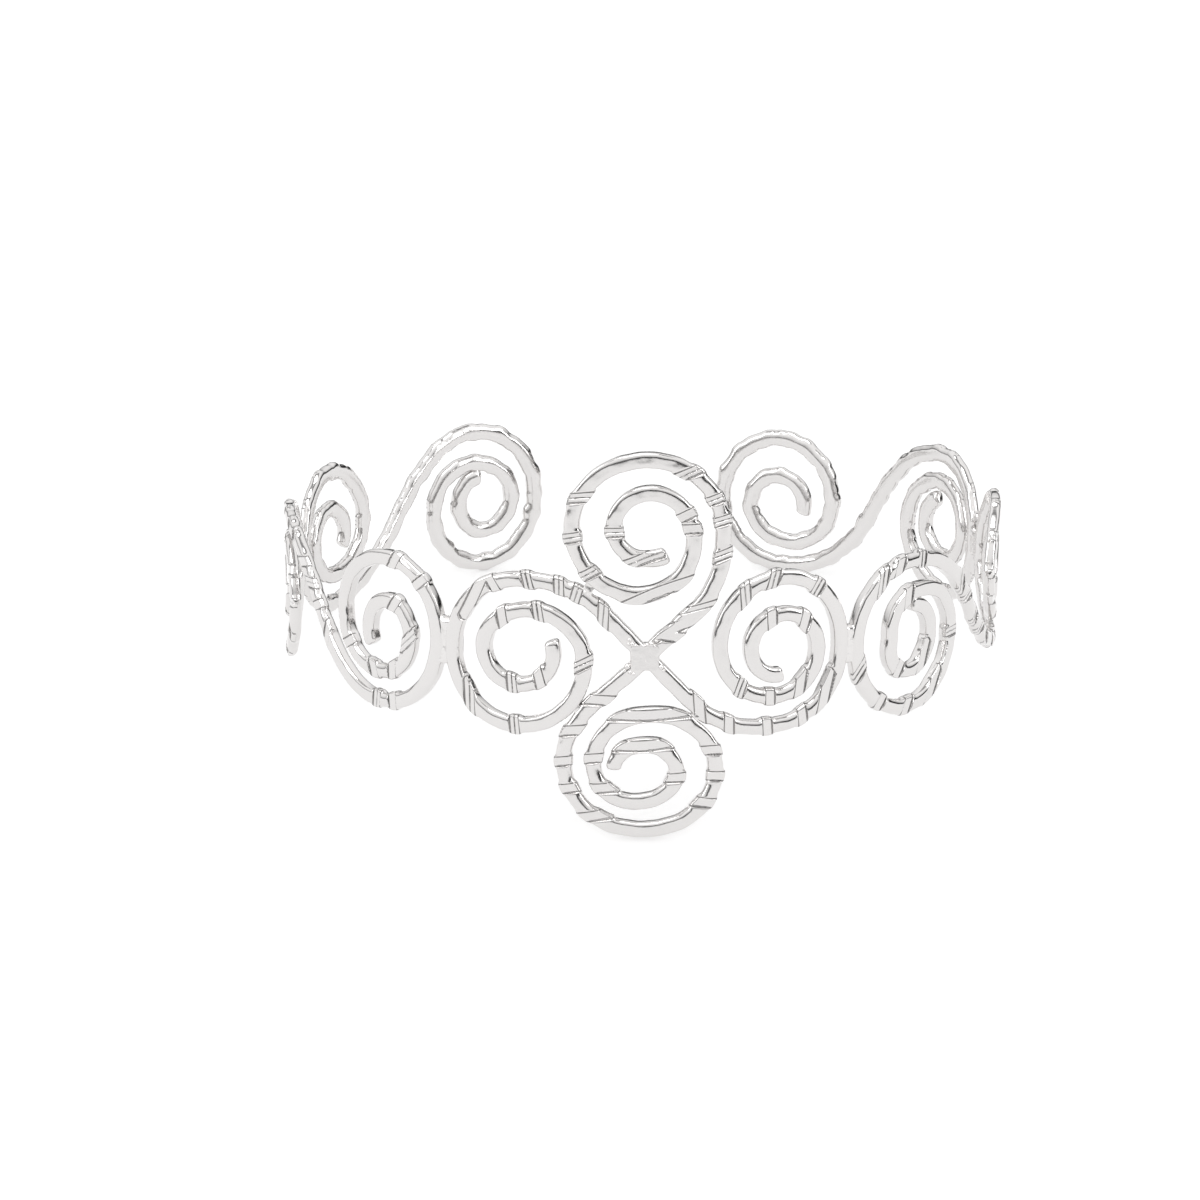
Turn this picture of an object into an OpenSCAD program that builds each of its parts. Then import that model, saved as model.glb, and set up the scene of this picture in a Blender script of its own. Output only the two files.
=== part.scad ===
// Open upper arm cuff: six S scroll wires with a spiral at each end, soldered into one rigid band.
// Millimetres. The front faces -Y, the opening faces +Y, and the cuff rests on Z = 0.

/* [Cuff] */
// Width of the oval the wires follow, side to side
oval_w = 80; // [76:0.5:88]
// Depth of the oval the wires follow, front to opening
oval_d = 72; // [70:0.5:80]
// Lean of the band as it rests on its lowest three scrolls, in degrees
lean = 9.3; // [8.8:0.1:9.6]

/* [Wire] */
// Width of the wire, seen from outside
wire_w = 2; // [1.7:0.05:2.2]
// Thickness of the wire, outside face to inside face
wire_t = 1.4; // [1.2:0.05:1.7]
// Share of the width that is flat on the inside face
flat_in = 0.7; // [0.5:0.05:0.9]
// Share of the width that is flat on the pressed outside face
flat_out = 0.45; // [0.3:0.05:0.8]
// Height of the rolled edge toward the outside, as a share of half the thickness
edge_out = 0.15; // [0:0.05:0.6]
// Height of the rolled edge toward the inside, as a share of half the thickness
edge_in = 0.45; // [0.2:0.05:0.8]
// Share of the section left at each blunt end
end_share = 0.7; // [0.5:0.05:0.9]

/* [Solder] */
// Thickness of a solder joint, outside face to inside face
solder_t = 1.1; // [0.9:0.05:1.2]

/* [Hidden] */
// Degrees of spiral between two sections of the wire
step_deg = 15;
// Sections in each half of the bend between two spirals
bend_steps = 7;
// Degrees between two points of the measured oval
arc_step = 1.5;
// Degrees of spiral that give its heading at the outer end
look_deg = 2;
// Sides of a solder pad
pad_sides = 8;

// Spirals on the band laid out flat, one row each: distance along from the middle of the front,
// height above the middle, direction of the outermost point in degrees, sweep in degrees to the
// inner end, and the radii at each quarter turn inward. All run anticlockwise seen from outside.
ALONG = 0; UP = 1; START = 2; SWEEP = 3; RADII = 4;
spirals = [
    [0.3, 13.6, 0, 669, [7.9, 7.5, 7.9, 6.8, 4.7, 4.0, 3.5, 3.1, 3.9]],
    [-0.2, -12.5, 180, 718, [8.0, 6.5, 8.1, 6.1, 4.8, 3.4, 3.9, 2.8, 2.7]],
    [-13.4, -0.2, 90, 653, [7.9, 7.3, 8.0, 7.2, 4.5, 3.7, 3.5, 4.0, 4.0]],
    [14.8, 0.3, 270, 724, [8.2, 6.9, 7.9, 6.7, 5.0, 4.1, 3.9, 3.4, 2.7]],
    [-29.0, 0.0, 270, 669, [8.0, 6.4, 7.9, 7.3, 4.6, 2.7, 3.2, 3.1, 3.8]],
    [30.6, 0.0, 90, 708, [7.9, 6.9, 8.2, 7.7, 4.1, 2.2, 4.2, 3.9, 3.1]],
    [-57.8, -0.9, 90, 690, [8.0, 7.0, 8.3, 7.0, 4.5, 3.6, 3.8, 3.3, 3.0]],
    [58.4, 0.9, 270, 690, [7.4, 7.5, 8.0, 7.0, 4.3, 3.8, 3.8, 3.3, 3.0]],
    [-74.3, -0.4, 270, 664, [8.2, 7.2, 7.8, 6.8, 4.8, 3.9, 3.3, 3.2, 3.3]],
    [76.0, 1.5, 90, 700, [8.4, 7.4, 8.0, 6.9, 5.0, 4.2, 3.9, 3.7, 3.1]],
    [-99.2, 0.3, 90, 717, [8.3, 7.0, 8.2, 6.5, 4.4, 4.0, 4.1, 3.0, 2.7]],
    [101.8, 0.0, 270, 651, [7.8, 7.2, 8.0, 7.2, 4.7, 3.6, 3.3, 3.4, 3.9]],
];

// Wires, one row each: first spiral, second spiral, then the middle of the bend that joins them
// as distance along, height and direction in degrees going from the first to the second, and
// how full the bend swells on the first and on the second side of it.
FIRST = 0; SECOND = 1; MID_ALONG = 2; MID_UP = 3; MID_DIR = 4; SWELL_A = 5; SWELL_B = 6;
wires = [
    [0, 1, 0.3, -0.1, 227, 1.4, 1.05],
    [2, 3, 0.2, 0.2, 315, 1.35, 1.35],
    [4, 6, -41.8, 0.0, 127, 1.15, 1.15],
    [5, 7, 43.2, 0.4, 307, 1.15, 1.15],
    [10, 8, -87.4, 0.0, 303, 1.1, 1.1],
    [11, 9, 88.7, 0.7, 118, 1.15, 1.15],
];

// Solder joints, one row each: distance along, height and diameter of the pad at either end.
joints = [
    [-1.1, 0.0, 1.5, 1.7, 0.0, 1.5],
    [0.3, 1.4, 1.5, 0.3, -1.5, 1.5],
    [-21.6, 2.0, 1.9, -21.6, -1.6, 1.9],
    [22.6, 1.7, 1.8, 22.6, -1.4, 1.8],
    [-65.9, 0.6, 1.8, -65.9, -1.4, 1.8],
    [67.3, 1.9, 2.3, 67.3, -0.1, 2.3],
    [-5.3, 8.2, 1.3, -6.3, 6.9, 1.3],
    [-7.8, -6.5, 1.3, -6.7, -6.0, 1.3],
    [5.6, -6.4, 1.2, 6.8, -6.9, 1.2],
];

// Section of the wire as shares of half its width and half its thickness, out from the centre.
section = [
    [flat_out, 1], [1, edge_out], [1, -edge_in], [flat_in, -1],
    [-flat_in, -1], [-1, -edge_in], [-1, edge_out], [-flat_out, 1],
];

// Distance along the oval against the turn from the middle of the front, in degrees
function oval(t) = [oval_w / 2 * sin(t), -oval_d / 2 * cos(t)];
arcs = [for (t = 0, s = 0; t <= 180; s = s + norm(oval(t + arc_step) - oval(t)), t = t + arc_step) [s, t]];
function turn_at(s) = sign(s) * lookup(abs(s), arcs);
function outward(s) = let (t = turn_at(s), n = [oval_d * sin(t), -oval_w * cos(t), 0]) n / norm(n);
function on_band(p) = let (q = oval(turn_at(p[0]))) [q[0], q[1], p[1]];

// A smooth curve through the radii of one spiral, x in quarter turns
function eased(a, b, c, d, f) =
    b + f * (c - a) / 2 + f * f * (2 * a - 5 * b + 4 * c - d) / 2 + f * f * f * (3 * b - a - 3 * c + d) / 2;
function radius_at(r, x) = let (n = len(r) - 1, i = min(floor(x), n - 1))
    eased(i == 0 ? 2 * r[0] - r[1] : r[i - 1], r[i], r[i + 1],
          i + 2 > n ? 2 * r[n] - r[n - 1] : r[i + 2], x - i);
function spiral_point(c, d) = let (r = radius_at(c[RADII], d / 90))
    [c[ALONG] + r * cos(c[START] + d), c[UP] + r * sin(c[START] + d)];
function spiral(c) = let (n = round(c[SWEEP] / step_deg))
    [for (i = [0:n]) spiral_point(c, c[SWEEP] * i / n)];

// The bend from one point and heading to another
function bend(p, pt, q, qt, u) =
    (2 * u * u * u - 3 * u * u + 1) * p + (u * u * u - 2 * u * u + u) * pt
    + (3 * u * u - 2 * u * u * u) * q + (u * u * u - u * u) * qt;
function heading(c) = let (d = spiral_point(c, look_deg) - spiral_point(c, 0)) d / norm(d);
function path(w) = let (
        a = spirals[w[FIRST]], b = spirals[w[SECOND]],
        m = [w[MID_ALONG], w[MID_UP]], h = [cos(w[MID_DIR]), sin(w[MID_DIR])],
        pa = spiral(a), pb = spiral(b), na = len(pa) - 1, n = bend_steps,
        la = w[SWELL_A] * norm(m - pa[0]), lb = w[SWELL_B] * norm(m - pb[0]))
    concat(
        [for (i = [na:-1:0]) pa[i]],
        [for (i = [1:n]) bend(pa[0], -heading(a) * la, m, h * la, i / n)],
        [for (i = [1:n - 1]) bend(m, h * lb, pb[0], heading(b) * lb, i / n)],
        pb);

// Sections of one wire along its path, each a ring of points round the centre line
function ring(p, before, after, k) = let (
        o = outward(p[0]), d = on_band(after) - on_band(before), s = cross(o, d), side = s / norm(s))
    [for (q = section) on_band(p) + side * q[0] * wire_w / 2 * k + o * q[1] * wire_t / 2 * k];
function rings(w) = let (p = path(w), n = len(p) - 1)
    [for (i = [0:n]) each ring(p[i], p[max(i - 1, 0)], p[min(i + 1, n)],
                               (i == 0 || i == n) ? end_share : 1)];

module wire(w) {
    pts = rings(w);
    m = len(section);
    n = len(pts) / m;
    polyhedron(pts, concat(
        [for (i = [0:n - 2], j = [0:m - 1]) each [
            [i * m + j, i * m + (j + 1) % m, (i + 1) * m + (j + 1) % m],
            [i * m + j, (i + 1) * m + (j + 1) % m, (i + 1) * m + j]]],
        [for (j = [1:m - 2]) [0, j + 1, j]],
        [for (j = [1:m - 2]) [(n - 1) * m, (n - 1) * m + j, (n - 1) * m + j + 1]]));
}

module pad(s, z, d) {
    o = outward(s);
    translate(on_band([s, z])) rotate([90, 0, atan2(o[1], o[0]) + 90])
        cylinder(d = d, h = solder_t, center = true, $fn = pad_sides);
}

module scroll_cuff() {
    color("silver") translate([0, -mid_y, -floor_z]) rotate([-lean, 0, 0]) union() {
        for (w = wires) wire(w);
        for (j = joints) hull() {
            pad(j[0], j[1], j[2]);
            pad(j[3], j[4], j[5]);
        }
    }
}

// The leaning cuff's middle front to back and its lowest point, brought to Y = 0 and Z = 0
leaned = [for (w = wires) for (p = rings(w))
    [p[1] * cos(lean) + p[2] * sin(lean), p[2] * cos(lean) - p[1] * sin(lean)]];
mid_y = (min([for (p = leaned) p[0]]) + max([for (p = leaned) p[0]])) / 2;
floor_z = min([for (p = leaned) p[1]]);

scroll_cuff();
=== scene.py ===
import bisect
import math
import random

import bmesh
import bpy
from mathutils import Matrix, Vector, noise


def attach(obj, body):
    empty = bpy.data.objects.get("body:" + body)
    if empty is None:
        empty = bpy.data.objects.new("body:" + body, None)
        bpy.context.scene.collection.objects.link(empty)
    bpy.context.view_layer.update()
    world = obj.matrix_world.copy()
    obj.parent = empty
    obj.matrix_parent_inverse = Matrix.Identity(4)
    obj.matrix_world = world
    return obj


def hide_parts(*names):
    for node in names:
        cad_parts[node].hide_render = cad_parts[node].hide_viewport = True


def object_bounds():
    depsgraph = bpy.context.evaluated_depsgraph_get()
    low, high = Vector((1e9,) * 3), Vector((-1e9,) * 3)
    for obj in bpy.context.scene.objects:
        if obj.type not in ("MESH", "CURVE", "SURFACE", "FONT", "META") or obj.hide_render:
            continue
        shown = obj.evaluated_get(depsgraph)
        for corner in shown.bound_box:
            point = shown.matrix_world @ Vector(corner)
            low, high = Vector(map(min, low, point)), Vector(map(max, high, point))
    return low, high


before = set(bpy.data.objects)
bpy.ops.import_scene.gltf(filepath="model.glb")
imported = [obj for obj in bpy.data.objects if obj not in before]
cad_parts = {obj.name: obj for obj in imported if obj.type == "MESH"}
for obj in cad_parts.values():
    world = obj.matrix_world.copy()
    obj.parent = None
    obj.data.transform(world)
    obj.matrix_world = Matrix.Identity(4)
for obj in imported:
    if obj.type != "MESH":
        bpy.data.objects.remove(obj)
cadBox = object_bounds()
mm = 0.001
hair = 1e-6   # mm, too little to matter
print("frame loaded")

# the band that every wire follows, in mm
band = {
    "width": 80.0,      # oval, side to side
    "depth": 72.0,      # oval, front to opening
    "lean": 9.3,        # degrees, as it rests on its three lowest scrolls
    "turnStep": 0.5,    # degrees between two points of the measured oval
}


def clamped(x):
    return min(1.0, max(0.0, x))


def ovalPoint(turn):
    a = math.radians(turn)
    return Vector((band["width"] / 2 * math.sin(a), -band["depth"] / 2 * math.cos(a), 0))


arcLengths = [0.0]   # from the middle of the front
for i in range(int(180 / band["turnStep"])):
    a, b = ovalPoint(i * band["turnStep"]), ovalPoint((i + 1) * band["turnStep"])
    arcLengths.append(arcLengths[-1] + (b - a).length)


def turnAt(along):   # degrees round the oval, to either side, for a distance along it
    s = min(abs(along), arcLengths[-1] - hair)
    i = bisect.bisect_right(arcLengths, s) - 1
    part = (s - arcLengths[i]) / (arcLengths[i + 1] - arcLengths[i])
    return math.copysign((i + part) * band["turnStep"], along)


leanTurn = Matrix.Rotation(math.radians(-band["lean"]), 4, "X")


def onBand(along, up, out):   # a point of the flat pattern, wrapped round the oval and leaned
    turn = turnAt(along)
    a = math.radians(turn)
    outward = Vector((band["depth"] * math.sin(a), -band["width"] * math.cos(a), 0)).normalized()
    p = ovalPoint(turn) + outward * out
    p.z = up
    return leanTurn @ p * mm


# the spirals on the band laid out flat:
# along the band, height, start direction, sweep inward, radius at each quarter turn
scrolls = {
    "topMiddle": (0.3, 13.6, 0, 669, (7.9, 7.5, 7.9, 6.8, 4.7, 4.0, 3.5, 3.1, 3.9)),
    "lowMiddle": (-0.2, -12.5, 180, 718, (8.0, 6.5, 8.1, 6.1, 4.8, 3.4, 3.9, 2.8, 2.7)),
    "left1": (-13.4, -0.2, 90, 653, (7.9, 7.3, 8.0, 7.2, 4.5, 3.7, 3.5, 4.0, 4.0)),
    "right1": (14.8, 0.3, 270, 724, (8.2, 6.9, 7.9, 6.7, 5.0, 4.1, 3.9, 3.4, 2.7)),
    "left2": (-29.0, 0.0, 270, 669, (8.0, 6.4, 7.9, 7.3, 4.6, 2.7, 3.2, 3.1, 3.8)),
    "right2": (30.6, 0.0, 90, 708, (7.9, 6.9, 8.2, 7.7, 4.1, 2.2, 4.2, 3.9, 3.1)),
    "left3": (-57.8, -0.9, 90, 690, (8.0, 7.0, 8.3, 7.0, 4.5, 3.6, 3.8, 3.3, 3.0)),
    "right3": (58.4, 0.9, 270, 690, (7.4, 7.5, 8.0, 7.0, 4.3, 3.8, 3.8, 3.3, 3.0)),
    "left4": (-74.3, -0.4, 270, 664, (8.2, 7.2, 7.8, 6.8, 4.8, 3.9, 3.3, 3.2, 3.3)),
    "right4": (76.0, 1.5, 90, 700, (8.4, 7.4, 8.0, 6.9, 5.0, 4.2, 3.9, 3.7, 3.1)),
    "left5": (-99.2, 0.3, 90, 717, (8.3, 7.0, 8.2, 6.5, 4.4, 4.0, 4.1, 3.0, 2.7)),
    "right5": (101.8, 0.0, 270, 651, (7.8, 7.2, 8.0, 7.2, 4.7, 3.6, 3.3, 3.4, 3.9)),
}

# first scroll, second scroll, middle of the bend between them, its direction,
# how full it swells on either side
wires = {
    "wireMiddle": ("topMiddle", "lowMiddle", (0.3, -0.1), 227, 1.4, 1.05),
    "wireFront": ("left1", "right1", (0.2, 0.2), 315, 1.35, 1.35),
    "wireLeft": ("left2", "left3", (-41.8, 0.0), 127, 1.15, 1.15),
    "wireRight": ("right2", "right3", (43.2, 0.4), 307, 1.15, 1.15),
    "wireBackLeft": ("left5", "left4", (-87.4, 0.0), 303, 1.1, 1.1),
    "wireBackRight": ("right5", "right4", (88.7, 0.7), 118, 1.15, 1.15),
}

pathShape = {
    "headingStep": 2,       # degrees of a spiral that give the heading of its outer end
    "spiralPoints": 300,    # measured along a spiral
    "bendPoints": 40,       # measured along each half of a bend
}


def radiusAt(radii, x):   # a smooth curve through the radii, x in quarter turns
    last = len(radii) - 1
    i = min(int(x), last - 1)
    f = x - i
    b, c = radii[i], radii[i + 1]
    a = 2 * b - c if i == 0 else radii[i - 1]
    d = 2 * c - b if i + 2 > last else radii[i + 2]
    return (b + f * (c - a) / 2 + f * f * (2 * a - 5 * b + 4 * c - d) / 2
            + f ** 3 * (3 * b - a - 3 * c + d) / 2)


def spiralPoint(name, turned):
    along, up, start, sweep, radii = scrolls[name]
    r, a = radiusAt(radii, turned / 90), math.radians(start + turned)
    return Vector((along + r * math.cos(a), up + r * math.sin(a)))


def spiralLine(name):   # from the outer end inward
    along, up, start, sweep, radii = scrolls[name]
    count = pathShape["spiralPoints"]
    return [spiralPoint(name, sweep * i / count) for i in range(count + 1)]


def bendPoint(p, pt, q, qt, u):   # from one point and heading to another
    return ((2 * u ** 3 - 3 * u * u + 1) * p + (u ** 3 - 2 * u * u + u) * pt
            + (3 * u * u - 2 * u ** 3) * q + (u ** 3 - u * u) * qt)


def wirePath(wire, step):   # even steps along a wire on the flat pattern, and its length
    first, second, middle, direction, swellFirst, swellSecond = wires[wire]
    m = Vector(middle)
    h = Vector((math.cos(math.radians(direction)), math.sin(math.radians(direction))))
    ends = []
    for name in (first, second):
        start = spiralPoint(name, 0)
        heading = (spiralPoint(name, pathShape["headingStep"]) - start).normalized()
        ends.append((start, heading))
    (pa, ha), (pb, hb) = ends
    la, lb = swellFirst * (m - pa).length, swellSecond * (m - pb).length
    count = pathShape["bendPoints"]
    dense = spiralLine(first)[::-1]
    dense += [bendPoint(pa, -ha * la, m, h * la, i / count) for i in range(1, count + 1)]
    dense += [bendPoint(m, h * lb, pb, hb * lb, i / count) for i in range(1, count)]
    dense += spiralLine(second)
    lengths = [0.0]
    for p, q in zip(dense, dense[1:]):
        lengths.append(lengths[-1] + (q - p).length)
    steps = round(lengths[-1] / step)
    points, j = [], 0
    for i in range(steps + 1):
        s = lengths[-1] * i / steps
        while j < len(dense) - 2 and lengths[j + 1] < s:
            j += 1
        f = (s - lengths[j]) / max(lengths[j + 1] - lengths[j], hair)
        points.append(dense[j].lerp(dense[j + 1], f))
    return points, lengths[-1]


def headingAt(points, i):
    return (points[min(i + 1, len(points) - 1)] - points[max(i - 1, 0)]).normalized()


# the marks of the ridged punch: along the band, up, slant of its lines in degrees,
# True for a punch without the middle line
marks = {
    "wireMiddle": [
        (-6.8, 16.9, 12, False), (-7.5, 12.7, 12, False), (-5.8, 8.8, 28, False),
        (4.5, 19.7, 17, False), (6.9, 16.8, 18, False), (7.7, 14.6, 17, False),
        (8.0, 11.0, 25, False), (5.4, 5.2, 20, False), (3.9, 3.9, 28, True), (2.5, 2.6, -3, True),
        (-3.1, 13.4, 3, False), (5.0, 13.9, 0, True), (4.7, 15.6, 24, True),
        (-0.3, 10.9, 18, False), (1.4, 7.4, 22, True), (-8.1, -11.7, 11, True),
        (-7.3, -8.3, 12, True), (-7.5, -14.6, 8, True), (-5.1, -17.7, 6, True),
        (-4.6, -4.7, 4, True), (7.8, -13.1, -3, True), (7.5, -10.2, -2, True),
        (6.6, -15.9, -4, True), (1.0, -7.0, 3, True), (-5.0, -11.2, 10, True),
        (-4.1, -14.5, 1, True), (0.2, -10.4, 4, True), (3.5, -13.1, 6, True),
    ],
    "wireFront": [
        (-12.2, 7.8, 108, False), (-8.8, 7.5, 95, False), (-6.9, 6.8, 76, False),
        (-4.2, 4.6, 93, False), (-5.9, -0.9, 33, False), (-13.5, -8.1, 97, False),
        (-18.5, -5.8, 98, False), (-17.6, 5.4, 62, True), (-15.9, 6.6, 125, True),
        (-11.0, 4.7, 103, False), (-14.7, 3.3, 96, True), (-13.8, -3.8, 98, False),
        (-10.8, -3.0, 101, True), (13.7, 8.0, 70, False), (10.5, 6.8, 90, False),
        (18.5, 6.6, 60, False), (13.4, 4.3, 90, True), (17.3, 3.4, 80, True),
        (13.6, -4.4, 92, True), (10.1, -3.8, 75, False), (16.6, -3.5, 78, True),
        (5.9, -5.7, 100, True), (9.1, -7.5, 94, True), (13.3, -8.0, 95, True),
        (17.1, -6.9, 95, True), (19.5, -5.0, 75, True),
    ],
    "wireLeft": [
        (-28.1, 7.9, 56, True), (-24.7, 6.0, 38, True), (-28.2, 3.0, 54, True),
        (-25.9, -0.5, 50, False), (-28.5, -4.4, 88, True), (-28.5, -7.8, 94, True),
        (-30.8, -8.0, 85, False), (-31.2, -4.9, 110, True), (-36.3, -3.4, 30, True),
    ],
    "wireRight": [
        (23.9, -3.1, 58, False), (26.7, 6.8, 76, False), (29.0, 8.5, 70, True),
        (32.6, 8.8, 85, False), (30.4, 4.7, 80, True), (29.6, -3.6, 60, True),
        (32.8, -3.1, 70, True), (26.9, -7.1, 55, True), (30.9, -8.1, 62, True),
        (34.6, -6.6, 60, True),
    ],
    "wireBackLeft": [],
    "wireBackRight": [],
}

# the same where the photo shows no outside face, strewn at random, in mm and degrees
hiddenMarks = {
    "from": 38,             # distance along the band where these start
    "fromEnd": 1,           # clear of the wire's ends
    "apart": 3.4,
    "vary": 0.9,
    "slants": (20, 85),
    "slantVary": 15,
    "steepest": 1.0,        # one that runs further along the wire than this, for each mm across,
    "turned": 90,           # is turned by this
    "plainShare": 0.5,      # share of them without the middle line
}

punch = {
    "half": 0.45,           # half the width of the pressed strip
    "level": 0.5,           # height that it leaves, from the wire's centre
    "wall": 0.16,           # width of the step up to the metal beside it
    "reach": 2.4,           # distance from a mark's middle that counts as no mark at all
    "fade": 1.0,            # along the wire, where a mark straight across starts to run out
    "longest": 5.5,         # the same for one that runs nearly along the wire
    "runOut": 1,            # how much further any mark is followed
    "leastAcross": 0.05,    # keeps a mark along the wire from running for ever
    "spread": 0.22,         # how far the metal is squeezed out at each side
    "spreadHalf": 0.7,      # how far from the mark's middle
    "lineAt": 0.5,          # the two sharp lines, either side of the middle one
    "plain": 0.12,          # how near the middle a punch without that line is smooth
    "lineHalf": 0.09,
    "lineDeep": 0.08,
    "bold": (-21, 38),      # between these distances along the band the lines are deep
    "faint": 0.055,         # elsewhere no point counts as nearer to a line than this
}

wireShape = {
    "halfWidth": 0.84,
    "backWider": 0.14,      # the last two scrolls on each side are hammered wider
    "backSpread": 0.5,      # and the punch squeezes them out less
    "widerFrom": 60,        # distance along the band where that starts
    "widerOver": 20,
    "halfThick": 0.68,
    "step": 0.09,           # along the wire
    "sides": 40,
    "frontShare": 0.66,     # share of the sides that lie on the outside face
    "square": 4.6,          # 2 is an oval section, more is squarer
    "squareClose": 2.4,     # between two marks that are close together
    "closeGap": 3.4,        # how far apart such marks are
    "openGap": 6.5,         # from here on the wire is hammered flat
    "evenOut": 6,           # steps over which the section changes
    "endRound": 0.5,        # length over which a blunt end is rounded
    "endShare": 0.55,
    "wander": 0.06,         # hand bending, sideways
    "wanderLength": 2.6,
    "dents": 0.028,         # rise and fall of the hammered outside face
    "dentLength": 1.3,
    "edges": 0.06,          # the same for the two edges
    "edgeLength": 1.5,
    "edgeRows": (3, 7),     # which row of the noise each edge follows
    "backEdges": 2.0,       # how much more of it the last two scrolls have
}

rollShape = {"onSeam": 1e-5, "seamJoin": 0.1}   # the first in radii, the second in steps


def rolledBar(length, steps, sides):   # a sheet rolled into a closed tube of radius 1
    bm = bmesh.new()
    bmesh.ops.create_grid(bm, x_segments=steps, y_segments=sides, size=0.5)
    front = wireShape["frontShare"]
    for v in bm.verts:
        u = v.co.y + 0.5
        a = math.pi * (u / front if u < front else 1 + (u - front) / (1 - front))
        v.co = ((v.co.x + 0.5) * length, math.cos(a), math.sin(a))
    seam = [v for v in bm.verts if abs(v.co.z) < rollShape["onSeam"] and v.co.y > 0]
    bmesh.ops.remove_doubles(bm, verts=seam, dist=length / steps * rollShape["seamJoin"])
    bmesh.ops.holes_fill(bm, edges=[e for e in bm.edges if e.is_boundary], sides=0)
    bmesh.ops.recalc_face_normals(bm, faces=bm.faces[:])
    return bm


def finishPiece(bm, name, material):
    mesh = bpy.data.meshes.new(name)
    bm.to_mesh(mesh)
    bm.free()
    mesh.shade_smooth()
    piece = bpy.data.objects.new(name, mesh)
    bpy.context.collection.objects.link(piece)
    mesh.materials.append(material)
    return piece


def addMesh(bm, part):
    mesh = bpy.data.meshes.new("part")
    part.to_mesh(mesh)
    part.free()
    bm.from_mesh(mesh)
    bpy.data.meshes.remove(mesh)


def squaredSection(y, z, power):   # a point of a round section, moved out to the square one
    k = (abs(y) ** power + abs(z) ** power) ** (-1 / power)
    return y * k, z * k


def sectionPowers(spots, steps):   # how square the wire is at each step, by the room between marks
    close, roundest = wireShape["closeGap"], wireShape["squareClose"]
    places = [0] + sorted(at for at, slant, plain in spots) + [steps]
    rough = []
    for i in range(steps + 1):
        j = min(max(bisect.bisect_right(places, i), 1), len(places) - 1)
        gap = (places[j] - places[j - 1]) * wireShape["step"]
        f = clamped((gap - close) / (wireShape["openGap"] - close))
        rough.append(roundest + f * (wireShape["square"] - roundest))
    even = wireShape["evenOut"]
    powers = []
    for i in range(steps + 1):
        part = rough[max(0, i - even):i + even + 1]
        powers.append(sum(part) / len(part))
    return powers


def pressed(height, q):   # the height that the punch leaves, q from the mark's middle
    f = clamped((q - punch["half"]) / punch["wall"])
    low = min(height, punch["level"])
    return low + (height - low) * f * f * (3 - 2 * f)


def softened(q):   # the distance from a mark's middle, kept clear of all three lines
    aside = q - punch["lineAt"]
    kept = math.copysign(max(abs(aside), punch["faint"]), aside)
    return max(punch["faint"], punch["lineAt"] + kept)


def slideAlong(points, at, slant):   # how far a mark runs along the wire for each step across it
    a = math.radians(slant)
    along = headingAt(points, at)
    lengthwise = abs(along.x * math.cos(a) + along.y * math.sin(a))
    crosswise = abs(along.y * math.cos(a) - along.x * math.sin(a))
    return lengthwise / max(crosswise, punch["leastAcross"])


def placeMarks(name, points, length):   # each as its step along the wire, its slant and its kind
    steps = len(points) - 1
    spots = []
    for along, up, slant, plain in marks[name]:
        at = min(range(steps + 1), key=lambda i: (points[i] - Vector((along, up))).length)
        spots.append((at, slant, plain))
    rng = random.Random(name)
    vary = hiddenMarks["slantVary"]
    s = rng.uniform(hiddenMarks["fromEnd"], hiddenMarks["apart"])
    while s < length - hiddenMarks["fromEnd"]:
        at = round(s / length * steps)
        if abs(points[at].x) > hiddenMarks["from"]:
            slant = rng.choice(hiddenMarks["slants"]) + rng.uniform(-vary, vary)
            if slideAlong(points, at, slant) > hiddenMarks["steepest"]:
                slant += hiddenMarks["turned"]
            spots.append((at, slant, rng.random() < hiddenMarks["plainShare"]))
        s += hiddenMarks["apart"] + rng.uniform(-1, 1) * hiddenMarks["vary"]
    return spots


def marksNear(points, spots):   # for each step along the wire, the marks that reach it
    near = [[] for point in points]
    for at, slant, plain in spots:
        a = math.radians(slant)
        across = Vector((-math.sin(a), math.cos(a)))
        run = wireShape["halfWidth"] * slideAlong(points, at, slant)
        fade = min(punch["longest"], punch["fade"] + run)
        span = round((fade + punch["runOut"]) / wireShape["step"])
        for i in range(max(0, at - span), min(len(points) - 1, at + span) + 1):
            ranOut = max(0.0, abs(i - at) * wireShape["step"] - fade)
            near[i].append((points[at], across, ranOut, punch["plain"] if plain else 0.0))
    return near


def roundedEnd(fromEnd):   # share of the section that a blunt end has left
    if fromEnd >= wireShape["endRound"]:
        return 1.0
    f = 1 - fromEnd / wireShape["endRound"]
    return wireShape["endShare"] + (1 - wireShape["endShare"]) * math.sqrt(1 - f * f)


def ripple(x, y, z, length):
    return noise.noise(Vector((x / length, y, z)))


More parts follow.
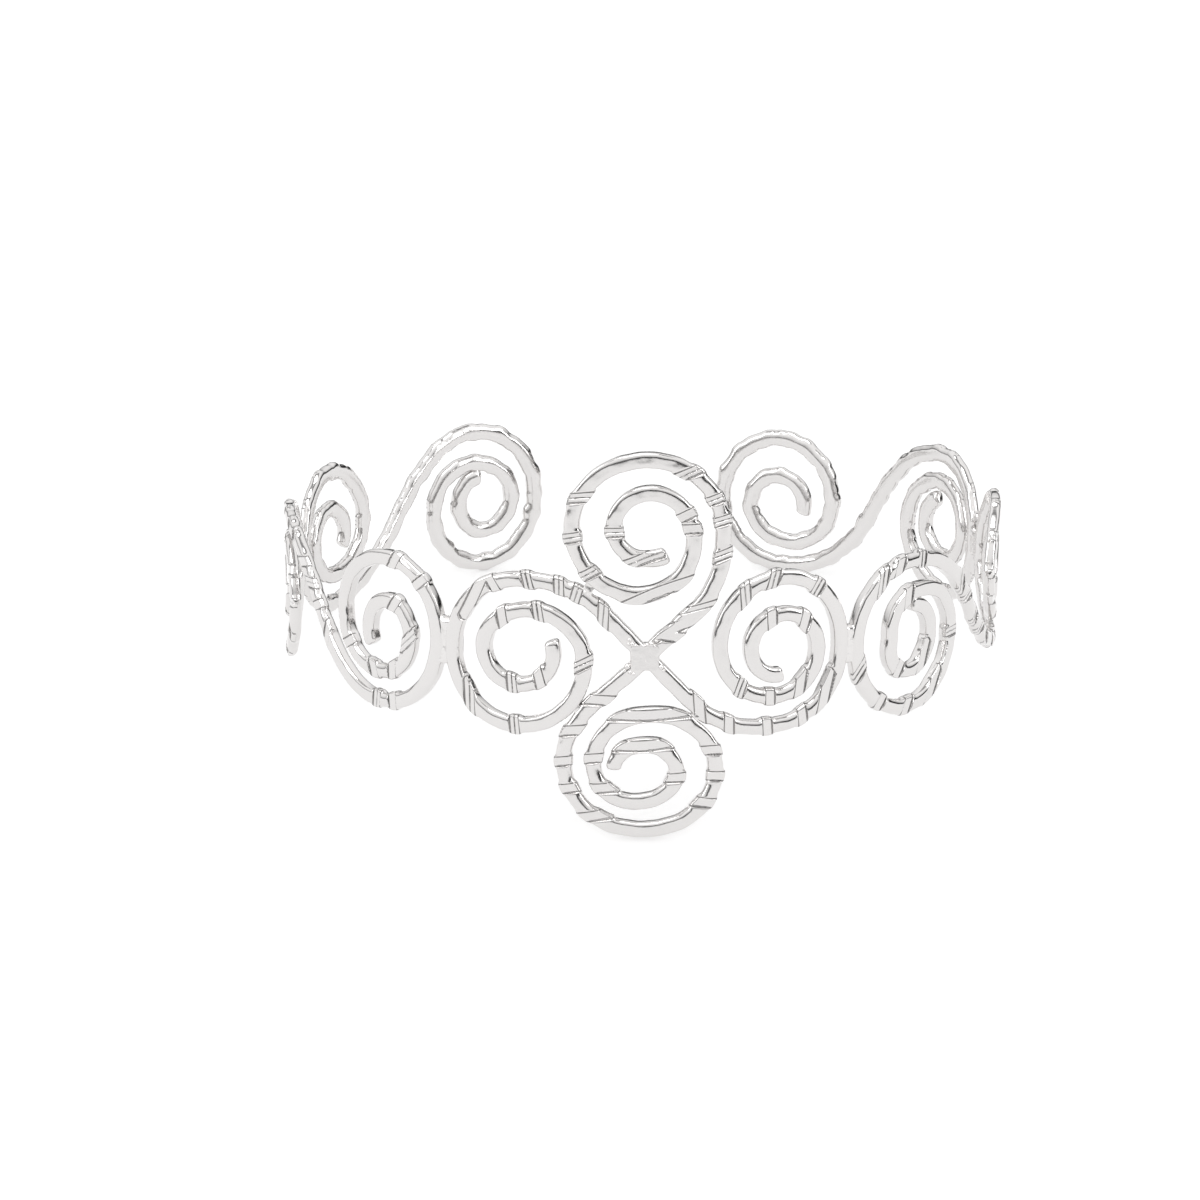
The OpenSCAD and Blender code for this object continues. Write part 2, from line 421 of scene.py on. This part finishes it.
def bendWire(name, material):
    points, length = wirePath(name, wireShape["step"])
    steps = len(points) - 1
    bm = rolledBar(length, steps, wireShape["sides"])
    spots = placeMarks(name, points, length)
    powers = sectionPowers(spots, steps)
    near = marksNear(points, spots)
    own = len(name)   # a row of the noise
    leftRow, rightRow = wireShape["edgeRows"]
    markDistance = bm.verts.layers.float.new("markDistance")
    for v in bm.verts:
        i = min(steps, max(0, round(v.co.x / length * steps)))
        p = points[i]
        along = headingAt(points, i)
        side = Vector((-along.y, along.x))
        share = roundedEnd(min(i, steps - i) * length / steps)
        back = clamped((abs(p.x) - wireShape["widerFrom"]) / wireShape["widerOver"])
        halfWidth = wireShape["halfWidth"] + back * wireShape["backWider"]
        spread = punch["spread"] * (1 - back * wireShape["backSpread"])
        wide, high = squaredSection(v.co.y, v.co.z, powers[i])
        s = i * wireShape["step"]
        wobble = ripple(s, own, 0, wireShape["wanderLength"])
        edge = ripple(s, own, leftRow if wide > 0 else rightRow, wireShape["edgeLength"])
        halfWidth += edge * wireShape["edges"] * (1 + back * wireShape["backEdges"])
        flat = p + side * (wide * halfWidth * share + wobble * wireShape["wander"])
        dent = noise.noise(Vector((flat.x, flat.y, own)) / wireShape["dentLength"])
        dent *= wireShape["dents"]
        high *= wireShape["halfThick"] * share + (dent if high > 0 else 0)
        q = punch["reach"]
        for centre, across, ranOut, least in near[i]:
            q = min(q, max(abs((flat - centre).dot(across)), least) + ranOut)
        if high > 0:
            high = pressed(high, q)
        flat += side * wide * spread * share * math.exp(-(q / punch["spreadHalf"]) ** 4)
        if not punch["bold"][0] < p.x < punch["bold"][1]:
            q = softened(q)
        v[markDistance] = q if high > 0 else punch["reach"]   # the inside face is smooth
        v.co = onBand(flat.x, flat.y, high)
    return finishPiece(bm, name, material)


# solder joints: from, to, half width at the ends, half width at the waist, half thickness
joints = {
    "plateLeft": ((-19.9, 0.1), (-23.2, 0.1), 3.2, 2.6, 0.6),
    "plateRight": ((21.2, 0.1), (24.2, 0.1), 2.6, 2.1, 0.6),
    "plateSideLeft": ((-64.6, -0.4), (-67.3, -0.4), 2.4, 1.7, 0.6),
    "plateSideRight": ((65.7, 1.3), (68.8, 1.5), 2.4, 1.5, 0.6),
    "dotTop": ((-5.4, 7.8), (-6.0, 6.85), 0.8, 0.5, 0.5),
    "dotLowLeft": ((-7.2, -5.6), (-6.4, -6.1), 0.7, 0.5, 0.5),
    "dotLowRight": ((5.2, -6.95), (5.8, -6.2), 0.7, 0.5, 0.5),
}
solderShape = {
    "step": 0.08,
    "leastSteps": 8,
    "sides": 40,
    "flat": 1.8,        # more of it leaves a flatter top
    "edge": 0.5,        # less of it leaves a sharper rim
    "lumps": 0.07,
    "lumpSize": 0.6,
}


def flattened(c):   # a round profile with its top filed flat
    return math.copysign(min(1.0, abs(c) * solderShape["flat"]) ** solderShape["edge"], c)


def solderBar(bm, start, end, endHalf, waistHalf, halfThick):
    a, b = Vector(start), Vector(end)
    length = (b - a).length
    steps = max(solderShape["leastSteps"], round(length / solderShape["step"]))
    bar = rolledBar(length, steps, solderShape["sides"])
    along = (b - a).normalized()
    side = Vector((-along.y, along.x))
    for v in bar.verts:
        u = v.co.x / length
        half = waistHalf + (endHalf - waistHalf) * (2 * u - 1) ** 2
        flat = a + along * v.co.x + side * v.co.y * half
        lump = noise.noise(Vector((flat.x, flat.y, 0)) / solderShape["lumpSize"])
        lump *= solderShape["lumps"]
        v.co = onBand(flat.x, flat.y, flattened(v.co.z) * (halfThick + lump))
    addMesh(bm, bar)


# the filed pad where the two front wires cross
crossPad = {
    "middle": (0.2, 0.05),
    "reachAlong": 1.55,     # to its hollow sides
    "reachUp": 1.5,
    "corners": 0.6,         # how much further it runs along the four wires
    "cornerSharp": 3,       # more of it makes the corners narrower
    "turned": 46,           # direction of a corner, degrees
    "full": 0.8,            # less of it makes the rim steeper
    "halfThick": 0.69,
    "rings": 48,
    "sides": 96,
    # beads of splashed solder round it: along and up from the middle, radius
    "beads": [
        (-1.3, 1.5, 0.27), (-1.6, 1.95, 0.2), (-0.95, 1.3, 0.22), (-1.7, 1.45, 0.18),
        (0.2, 1.45, 0.2), (0.7, 1.5, 0.27), (1.15, 1.85, 0.2), (1.0, 1.25, 0.18),
        (1.7, -1.0, 0.28), (1.95, -1.35, 0.2), (-1.8, -0.95, 0.32), (-1.5, -1.6, 0.22),
        (-1.15, -1.75, 0.17), (-2.1, -1.4, 0.2), (0.05, -0.35, 0.07),
    ],
    "beadsOut": 0.64,
    "beadRounds": 3,
}


def addCrossPad(bm):
    pad = bmesh.new()
    sides, rings = crossPad["sides"], crossPad["rings"]
    bmesh.ops.create_uvsphere(pad, u_segments=sides, v_segments=rings, radius=1)
    mx, my = crossPad["middle"]
    for v in pad.verts:
        a = math.atan2(v.co.y, v.co.x)
        fromCorner = a - math.radians(crossPad["turned"])
        corner = abs(math.cos(2 * fromCorner)) ** crossPad["cornerSharp"]
        reach = crossPad["reachAlong"] * math.cos(a) ** 2 + crossPad["reachUp"] * math.sin(a) ** 2
        r = math.hypot(v.co.x, v.co.y) ** crossPad["full"] * (reach + crossPad["corners"] * corner)
        high = flattened(v.co.z) * crossPad["halfThick"]
        v.co = onBand(mx + r * math.cos(a), my + r * math.sin(a), high)
    addMesh(bm, pad)
    for x, y, radius in crossPad["beads"]:
        bead = bmesh.new()
        bmesh.ops.create_icosphere(bead, subdivisions=crossPad["beadRounds"], radius=radius)
        for v in bead.verts:
            v.co = onBand(mx + x + v.co.x, my + y + v.co.y, crossPad["beadsOut"] + v.co.z)
        addMesh(bm, bead)


def sRgb(hexColour):   # to linear red, green, blue and full cover
    parts = [int(hexColour[i:i + 2], 16) / 255 for i in (0, 2, 4)]
    linear = [c / 12.92 if c <= 0.04045 else ((c + 0.055) / 1.055) ** 2.4 for c in parts]
    return tuple(linear) + (1.0,)


def newMaterial(name, finish):
    material = bpy.data.materials.new(name)
    material.use_nodes = True
    tree = material.node_tree
    shader = tree.nodes["Principled BSDF"]
    for key, value in finish.items():
        shader.inputs[key].default_value = value
    return material, tree, shader


def addNode(tree, kind, settings=None, links=()):   # an input by its number or name, or a setting
    node = tree.nodes.new(kind)
    for key, value in (settings or {}).items():
        if isinstance(key, int) or key in node.inputs:
            node.inputs[key].default_value = value
        else:
            setattr(node, key, value)
    for fromSocket, toName in links:
        tree.links.new(fromSocket, node.inputs[toName])
    return node


plateFinish = {
    "colour": "dddbda",
    "paintedGrooveShade": "737170",    # painted shade at the bottom of the punched lines, in place of the shadow that the grooves don't cast
    "roughness": 0.14,
    "grainScale": 700.0,    # hammered ripple about 1.4 mm across
    "grainDetail": 3.0,
    "grainStrength": 0.3,
    "grainDeep": 0.05,      # mm
}


def silverPlate():
    # polished silver plate over wire: pale warm grey mirror with a faint haze from wear
    material, tree, shader = newMaterial("polishedSilverPlate", {
        "Base Color": sRgb(plateFinish["colour"]),
        "Metallic": 1.0,
        "Roughness": plateFinish["roughness"],
    })
    # how near the surface is to a punched line, from the distance kept in the mesh
    distance = addNode(tree, "ShaderNodeAttribute", {"attribute_name": "markDistance"})
    fromLine = addNode(tree, "ShaderNodeMath", {"operation": "SUBTRACT", 1: punch["lineAt"]},
                       [(distance.outputs["Fac"], 0)])
    aside = addNode(tree, "ShaderNodeMath", {"operation": "ABSOLUTE"},
                    [(fromLine.outputs["Value"], 0)])
    nearest = addNode(tree, "ShaderNodeMath", {"operation": "MINIMUM"},
                      [(aside.outputs["Value"], 0), (distance.outputs["Fac"], 1)])
    groove = addNode(tree, "ShaderNodeMapRange", {"From Max": punch["lineHalf"]},
                     [(nearest.outputs["Value"], "Value")])
    # painted shade: the base colour darkens to the dark grey at the bottom of each punched line
    paintedGrooveShade = addNode(tree, "ShaderNodeMix", {
        "data_type": "RGBA",
        6: sRgb(plateFinish["paintedGrooveShade"]),
        7: sRgb(plateFinish["colour"]),
    }, [(groove.outputs["Result"], "Factor")])
    tree.links.new(paintedGrooveShade.outputs[2], shader.inputs["Base Color"])
    lines = addNode(tree, "ShaderNodeBump", {"Strength": 1.0, "Distance": punch["lineDeep"] * mm},
                    [(groove.outputs["Result"], "Height")])
    where = addNode(tree, "ShaderNodeTexCoord")
    grain = addNode(tree, "ShaderNodeTexNoise", {
        "Scale": plateFinish["grainScale"],
        "Detail": plateFinish["grainDetail"],
    }, [(where.outputs["Object"], "Vector")])
    bump = addNode(tree, "ShaderNodeBump", {
        "Strength": plateFinish["grainStrength"],
        "Distance": plateFinish["grainDeep"] * mm,
    }, [(grain.outputs["Fac"], "Height"), (lines.outputs["Normal"], "Normal")])
    tree.links.new(bump.outputs["Normal"], shader.inputs["Normal"])
    return material


solderFinish = {
    "colour": "e1dfde",
    "roughness": 0.22,
    "pitScale": 1800.0,     # pits about 0.6 mm across
    "pitDetail": 4.0,
    "pitStrength": 0.15,
    "pitDeep": 0.1,         # mm
}


def silverSolder():
    # silver solder, melted and lightly brushed: duller and a little pitted
    material, tree, shader = newMaterial("meltedSilverSolder", {
        "Base Color": sRgb(solderFinish["colour"]),
        "Metallic": 1.0,
        "Roughness": solderFinish["roughness"],
    })
    where = addNode(tree, "ShaderNodeTexCoord")
    pits = addNode(tree, "ShaderNodeTexNoise", {
        "Scale": solderFinish["pitScale"],
        "Detail": solderFinish["pitDetail"],
    }, [(where.outputs["Object"], "Vector")])
    bump = addNode(tree, "ShaderNodeBump", {
        "Strength": solderFinish["pitStrength"],
        "Distance": solderFinish["pitDeep"] * mm,
    }, [(pits.outputs["Fac"], "Height")])
    tree.links.new(bump.outputs["Normal"], shader.inputs["Normal"])
    return material


plate = silverPlate()
solder = silverSolder()
pieces = [bendWire(name, plate) for name in wires]
print("wires bent:", sum(len(p.data.polygons) for p in pieces))

solderMesh = bmesh.new()
for row in joints.values():
    solderBar(solderMesh, *row)
addCrossPad(solderMesh)
pieces.append(finishPiece(solderMesh, "solderJoints", solder))
print("joints soldered")

# the wires were bent round the oval's own middle: set the cuff down where the CAD has it
lows = [min(v.co.z for v in p.data.vertices) for p in pieces]
ys = [v.co.y for p in pieces for v in p.data.vertices]
cadMiddleY = (cadBox[0][1] + cadBox[1][1]) / 2
shift = Matrix.Translation((0, cadMiddleY - (min(ys) + max(ys)) / 2, -min(lows)))
for piece in pieces:
    piece.data.transform(shift)
    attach(piece, "root")
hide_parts("scroll_cuff")
print("cuff set down")

# floor and light
studio = {
    "floorSize": 6.0,           # m
    "floorColour": "e2e2e2",
    "floorRoughness": 0.9,
    "floorGlow": 0.42,          # lit a little from below
    "sky": 1.18,
    "skyTilt": (-0.1, 0.0, 1.0),    # the dark strip stands higher to the right
    # sine of the height above the tilted horizon, brightness
    "skyStops": [
        (0.0, 0.01), (0.13, 0.02), (0.2, 0.6), (0.5, 0.9),
        (0.84, 1.0), (0.9, 0.25), (0.97, 0.25), (0.99, 1.0),
    ],
    # place and aim, width and height, all in m, and watts
    "softboxes": {
        "topSoftbox": ((-0.1, -0.1, 0.7), (0, 0, 0), (0.5, 0.35), 2.0),
        "leftSoftbox": ((-0.6, -0.3, 0.35), (0, 0, 0.02), (0.12, 0.5), 1.0),
        "rightSoftbox": ((0.6, -0.35, 0.3), (0, 0, 0.02), (0.1, 0.5), 1.0),
    },
}


def addFloor():
    # matte white acrylic light table, moulded smooth: it throws soft light back up at the metal
    material, tree, shader = newMaterial("matteWhiteAcrylicLightTable", {
        "Base Color": sRgb(studio["floorColour"]),
        "Roughness": studio["floorRoughness"],
        "Emission Color": (1, 1, 1, 1),
        "Emission Strength": studio["floorGlow"],
    })
    bm = bmesh.new()
    bmesh.ops.create_grid(bm, x_segments=1, y_segments=1, size=studio["floorSize"] / 2)
    floor = finishPiece(bm, "floor", material)


def addLight(name, place, aim, size, watts):
    light = bpy.data.lights.new(name, "AREA")
    light.shape, light.energy = "RECTANGLE", watts
    light.size, light.size_y = size
    lamp = bpy.data.objects.new(name, light)
    lamp.location = place
    lamp.rotation_euler = (Vector(aim) - Vector(place)).to_track_quat("-Z", "Y").to_euler()
    bpy.context.collection.objects.link(lamp)
    lamp.visible_diffuse = False   # a glint on the metal, no shadow on the table


addFloor()
for name, row in studio["softboxes"].items():
    addLight(name, *row)


def paleStudio():   # white to the camera, with a dark strip at the horizon that edges the wire
    world = bpy.data.worlds.new("paleStudio")
    world.use_nodes = True
    tree = world.node_tree
    where = addNode(tree, "ShaderNodeTexCoord")
    height = addNode(tree, "ShaderNodeVectorMath", {
        "operation": "DOT_PRODUCT",
        1: studio["skyTilt"],
    }, [(where.outputs["Generated"], 0)])
    ramp = addNode(tree, "ShaderNodeValToRGB", {}, [(height.outputs["Value"], "Fac")])
    stops = ramp.color_ramp.elements
    while len(stops) < len(studio["skyStops"]):
        stops.new(0.5)   # each gets its own place below
    for stop, (place, level) in zip(stops, studio["skyStops"]):
        stop.position, stop.color = place, (level, level, level, 1)
    sky = tree.nodes["Background"]
    tree.links.new(ramp.outputs["Color"], sky.inputs["Color"])
    sky.inputs["Strength"].default_value = studio["sky"]
    white = addNode(tree, "ShaderNodeBackground", {"Color": (1, 1, 1, 1), "Strength": 1.0})
    ray = addNode(tree, "ShaderNodeLightPath")
    pick = addNode(tree, "ShaderNodeMixShader", {}, [
        (ray.outputs["Is Camera Ray"], "Fac"),
        (sky.outputs["Background"], 1),
        (white.outputs["Background"], 2),
    ])
    tree.links.new(pick.outputs["Shader"], tree.nodes["World Output"].inputs["Surface"])
    bpy.context.scene.world = world


paleStudio()
bpy.context.scene.view_settings.view_transform = "Standard"

viewpoint = {
    "place": (-3.62, -359.64, 177.1),   # mm, from the photo's perspective
    "aim": (-4.65, 0.0, 10.81),
    "roll": 0.65,                       # degrees
    "lens": 103.93,                     # mm
    "sensor": 36.0,                     # mm
    "nearest": 0.01,                    # m, where the view starts
}


def addCamera():
    data = bpy.data.cameras.new("camera")
    data.lens, data.sensor_width = viewpoint["lens"], viewpoint["sensor"]
    data.clip_start = viewpoint["nearest"]
    camera = bpy.data.objects.new("camera", data)
    place, aim = Vector(viewpoint["place"]) * mm, Vector(viewpoint["aim"]) * mm
    turn = (aim - place).to_track_quat("-Z", "Y").to_matrix().to_4x4()
    roll = Matrix.Rotation(math.radians(viewpoint["roll"]), 4, "Z")
    camera.matrix_world = Matrix.Translation(place) @ turn @ roll
    bpy.context.collection.objects.link(camera)
    bpy.context.scene.camera = camera


addCamera()
print("studio ready")
